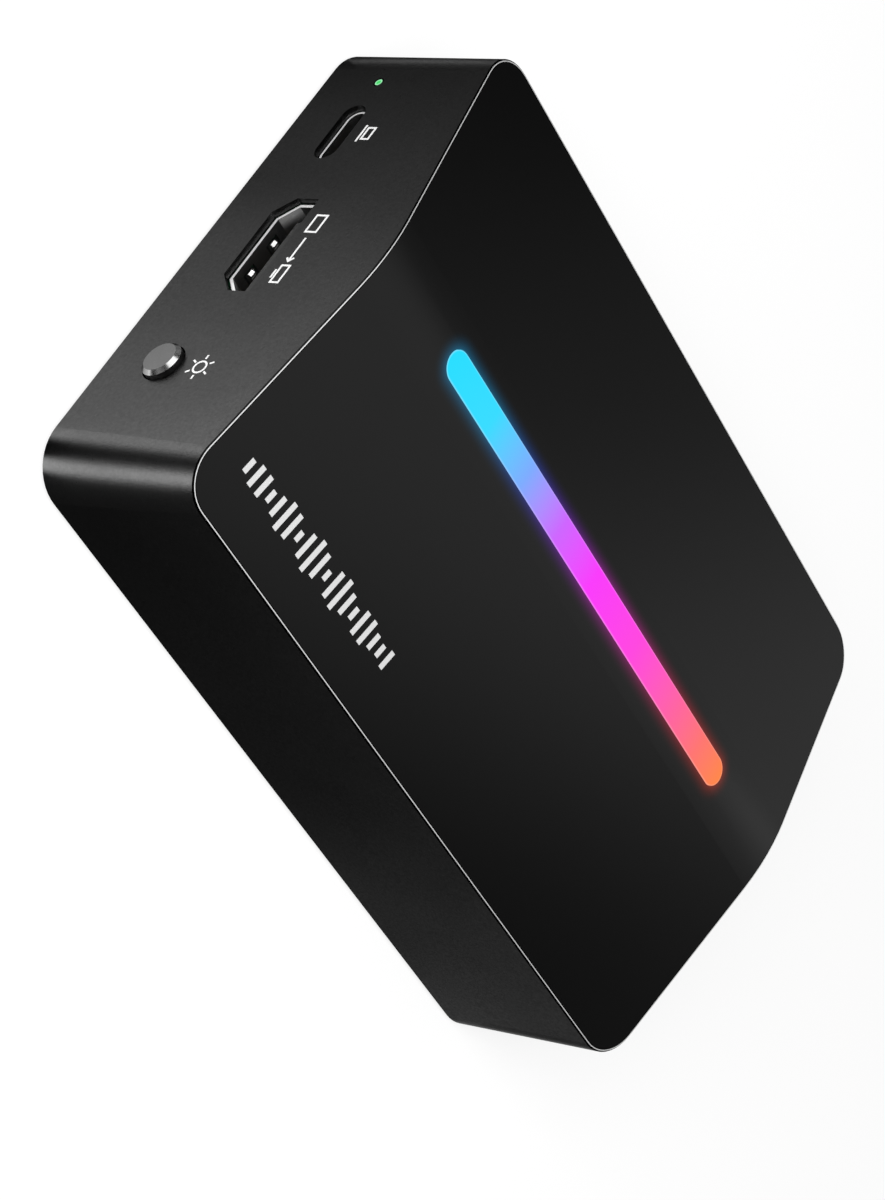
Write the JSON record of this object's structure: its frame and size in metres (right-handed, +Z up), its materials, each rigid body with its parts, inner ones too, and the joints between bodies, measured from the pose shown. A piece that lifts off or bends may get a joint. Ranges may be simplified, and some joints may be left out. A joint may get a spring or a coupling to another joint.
{
  "type": "video capture box",
  "caption": "Low black box with a pitched roof, a light bar along its ridge, sockets in both ends and a push button; passes a video signal on and feeds it to a computer.",
  "frame": {"origin": "under the middle of the box, on the surface that its feet rest on", "axes": "+X along the ridge from the output end to the input end, +Y across the box, +Z up"},
  "size_m": [0.1103, 0.0726, 0.03],
  "materials": {
    "frame_metal": "fine blasted black anodising with a bright-cut rim",
    "cover_plastic": "satin black moulding",
    "base_plastic": "fine textured black moulding",
    "foot_rubber": "matt",
    "screw_steel": "dark plated",
    "light_diffuser": "milky, lit from inside in a run of colours",
    "white_plastic": "plain",
    "light_board": "white solder mask",
    "light_chip": "plain",
    "circuit_board": "solder mask",
    "chip_package": "moulded",
    "bright_can": "drawn",
    "thermal_gel": "soft",
    "sink_metal": "black anodised",
    "socket_shell": "nickel plated",
    "socket_plastic": "plain",
    "contact_gold": "gold plated",
    "button_metal": "black anodised with a bright bevel",
    "plunger_plastic": "plain",
    "status_window": "clear, lit green from behind"
  },
  "bodies": {
    "case": {"body_frame": "frame_metal", "top_cover": "cover_plastic", "base_cover": "base_plastic", "rubber_feet": "foot_rubber", "base_screws": "screw_steel", "board_screws": "screw_steel", "led_board_screws": "screw_steel", "light_bar": "light_diffuser", "light_channel": "white_plastic", "led_cable": "white_plastic", "cable_headers": "white_plastic", "led_board": "light_board", "led_chips": "light_chip", "status_led": "light_chip", "main_board": "circuit_board", "capture_chip": "chip_package", "video_chip": "chip_package", "memory_chip": "chip_package", "power_inductors": "chip_package", "crystal": "bright_can", "capacitors": "bright_can", "switch_cover": "bright_can", "switch_pins": "bright_can", "thermal_pad": "thermal_gel", "heat_sink": "sink_metal", "hdmi_out_shell": "socket_shell", "hdmi_in_shell": "socket_shell", "usb_shell": "socket_shell", "hdmi_out_tongue": "socket_plastic", "hdmi_in_tongue": "socket_plastic", "usb_tongue": "socket_plastic", "mic_jack": "socket_plastic", "phones_jack": "socket_plastic", "switch_case": "socket_plastic", "hdmi_out_contacts": "contact_gold", "hdmi_in_contacts": "contact_gold", "usb_contacts": "contact_gold", "jack_contacts": "contact_gold", "status_lens": "status_window"},
    "light_button": {"button_cap": "button_metal", "switch_plunger": "plunger_plastic"}
  },
  "joints": [
    {"name": "light_button_press", "type": "slide", "parent": "case", "child": "light_button", "axis": [1, 0, 0], "range_m": [0, 0.0004], "stiffness_N_per_m": 2000, "springref_m": -0.0003}
  ]
}
